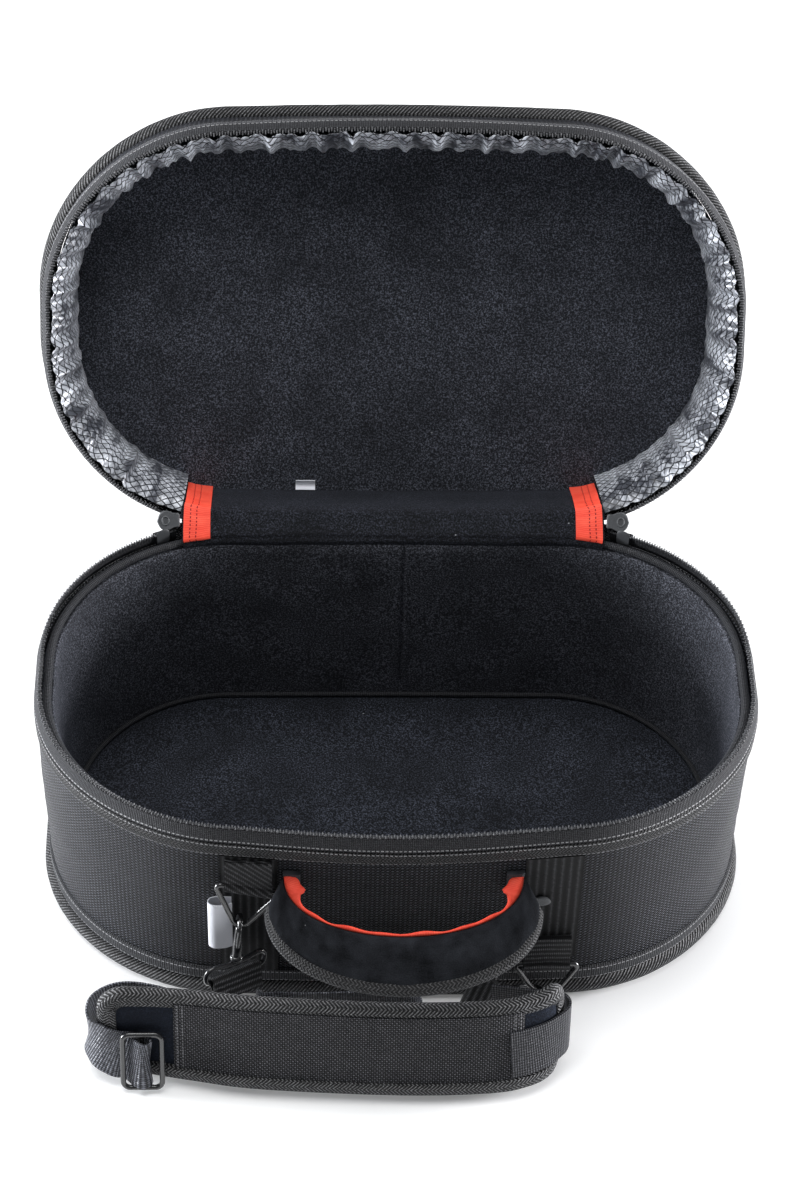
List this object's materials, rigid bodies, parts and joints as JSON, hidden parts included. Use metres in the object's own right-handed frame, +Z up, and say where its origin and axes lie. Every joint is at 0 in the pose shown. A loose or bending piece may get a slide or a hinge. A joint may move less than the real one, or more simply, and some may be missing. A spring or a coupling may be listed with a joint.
{
  "type": "bongo bag",
  "caption": "Soft padded carrying bag for a pair of bongos, stadium shaped, shown open, with hinged zip lid, grab handle and hooked shoulder strap.",
  "frame": {"origin": "middle of the flat underside, on the floor", "axes": "+Z up out of the mouth, +X along the bag to the viewer's right, -Y towards the front wall with the handle, +Y towards the hinge"},
  "size_m": [0.4998, 0.5655, 0.4277],
  "materials": {
    "nylon_ballistic": "coarse basket weave with a grey-blue sheen",
    "fleece_black": "brushed knit over foam",
    "fleece_floor": "brushed knit over foam",
    "binding_herringbone": "herringbone binding tape",
    "binding_plain": "smooth edge binding",
    "binding_fine": "narrow bound seam",
    "tape_plain": "ribbed flat tape",
    "zip_tape": "fine twill tape",
    "zip_teeth": "coil zip",
    "webbing_ribbed": "ribbed webbing",
    "webbing_belt": "shiny strap webbing",
    "metal_black": "gloss black wire",
    "suede_black": "soft napped cover",
    "neoprene_black": "padded back cloth",
    "twill_dark": "twill face cloth",
    "tape_red": "bright red tape",
    "ripstop_silver": "satin ripstop lining",
    "rubber_grey": "moulded rubber",
    "label_white": "blank satin label"
  },
  "bodies": {
    "tub": {"tub_wall": "nylon_ballistic", "tub_foam": "fleece_black", "base_panel": "nylon_ballistic", "floor_pad": "fleece_floor", "floor_piping": "binding_fine", "base_piping": "binding_herringbone", "base_band": "tape_plain", "rim_band": "binding_herringbone", "rim_zip_tape": "zip_tape", "rim_zip_teeth": "zip_teeth", "rim_piping": "binding_fine", "hinge_tape": "nylon_ballistic", "hinge_flap": "fleece_black", "webbing_left": "webbing_ribbed", "webbing_right": "webbing_ribbed", "ring_loop_left": "webbing_ribbed", "ring_loop_right": "webbing_ribbed", "side_tag": "label_white", "handle_anchor_left": "webbing_ribbed", "handle_anchor_right": "webbing_ribbed", "zip_slider_left": "rubber_grey", "zip_slider_right": "rubber_grey", "strap_pad": "neoprene_black", "strap_panel": "twill_dark", "strap_binding_lower": "binding_herringbone", "strap_binding_upper": "binding_herringbone", "belt_left": "webbing_belt", "belt_right": "webbing_belt", "slider_frame": "metal_black", "slider_bar": "metal_black"},
    "lid": {"lid_wall": "nylon_ballistic", "lid_top": "nylon_ballistic", "lid_foam": "fleece_black", "lid_piping": "binding_herringbone", "lid_band": "binding_herringbone", "lid_zip_tape": "zip_tape", "lid_zip_teeth": "zip_teeth", "lid_lining": "ripstop_silver", "hinge_cover": "nylon_ballistic", "hinge_strip": "fleece_black", "hinge_binding_left": "tape_red", "hinge_binding_right": "tape_red", "seam_tag": "label_white"},
    "handle": {"handle_pad": "suede_black", "handle_lining": "tape_red", "handle_binding": "binding_plain"},
    "pull_tab_left": {"pull_tab_left": "rubber_grey"},
    "pull_tab_right": {"pull_tab_right": "rubber_grey"},
    "ring_left": {"ring_left": "metal_black"},
    "ring_right": {"ring_right": "metal_black"},
    "hook_left": {"hook_body_left": "metal_black"},
    "hook_right": {"hook_body_right": "metal_black"},
    "gate_left": {"hook_gate_left": "metal_black"},
    "gate_right": {"hook_gate_right": "metal_black"},
    "swivel_left": {"hook_swivel_left": "metal_black", "hook_loop_left": "metal_black", "strap_end_left": "webbing_belt"},
    "swivel_right": {"hook_swivel_right": "metal_black", "hook_loop_right": "metal_black", "strap_end_right": "webbing_belt"}
  },
  "joints": [
    {"name": "lid_hinge", "type": "hinge", "parent": "tub", "child": "lid", "pos_m": [0, 0.137, 0.179], "axis": [1, 0, 0], "range_deg": [0, 119]},
    {"name": "handle_hinge", "type": "hinge", "parent": "tub", "child": "handle", "pos_m": [0.003, -0.1495, 0.1301], "axis": [-1, 0, 0], "range_deg": [0, 83]},
    {"name": "pull_tab_left_swing", "type": "hinge", "parent": "tub", "child": "pull_tab_left", "pos_m": [-0.1517, 0.1346, 0.1815], "axis": [0, 0, -1], "range_deg": [0, 40]},
    {"name": "pull_tab_right_swing", "type": "hinge", "parent": "tub", "child": "pull_tab_right", "pos_m": [0.1517, 0.1346, 0.1815], "axis": [0, 0, 1], "range_deg": [0, 40]},
    {"name": "ring_left_hinge", "type": "hinge", "parent": "tub", "child": "ring_left", "pos_m": [-0.099, -0.1474, 0.124], "axis": [-0.9806, 0, 0.1961], "range_deg": [0, 3]},
    {"name": "ring_right_hinge", "type": "hinge", "parent": "tub", "child": "ring_right", "pos_m": [0.102, -0.1432, 0.0385], "axis": [-1, 0, 0], "range_deg": [0, 6]},
    {"name": "hook_left_hinge", "type": "hinge", "parent": "ring_left", "child": "hook_left", "pos_m": [-0.1052, -0.1542, 0.0916], "axis": [-0.9806, 0, 0.1961], "range_deg": [-2, 0]},
    {"name": "hook_right_hinge", "type": "hinge", "parent": "ring_right", "child": "hook_right", "pos_m": [0.0928, -0.1483, 0.016], "axis": [-0.5196, 0.1776, 0.8357], "range_deg": [-6, 1]},
    {"name": "gate_left_hinge", "type": "hinge", "parent": "hook_left", "child": "gate_left", "pos_m": [-0.1063, -0.1592, 0.0771], "axis": [-0.9966, -0.0117, 0.081], "range_deg": [0, 12], "stiffness_Nm_per_rad": 0.01, "springref_deg": -5.73},
    {"name": "gate_right_hinge", "type": "hinge", "parent": "hook_right", "child": "gate_right", "pos_m": [0.0776, -0.1485, 0.0191], "axis": [-0.1728, -0.4581, -0.872], "range_deg": [0, 12], "stiffness_Nm_per_rad": 0.01, "springref_deg": -5.73},
    {"name": "swivel_left_turn", "type": "hinge", "parent": "hook_left", "child": "swivel_left", "pos_m": [-0.1073, -0.1568, 0.0655], "axis": [-0.0794, -0.0992, -0.9919], "range_deg": [-8, 8]},
    {"name": "swivel_right_turn", "type": "hinge", "parent": "hook_right", "child": "swivel_right", "pos_m": [0.0683, -0.154, 0.0239], "axis": [-0.9285, -0.2196, 0.2995], "range_deg": [-3, 10]}
  ]
}
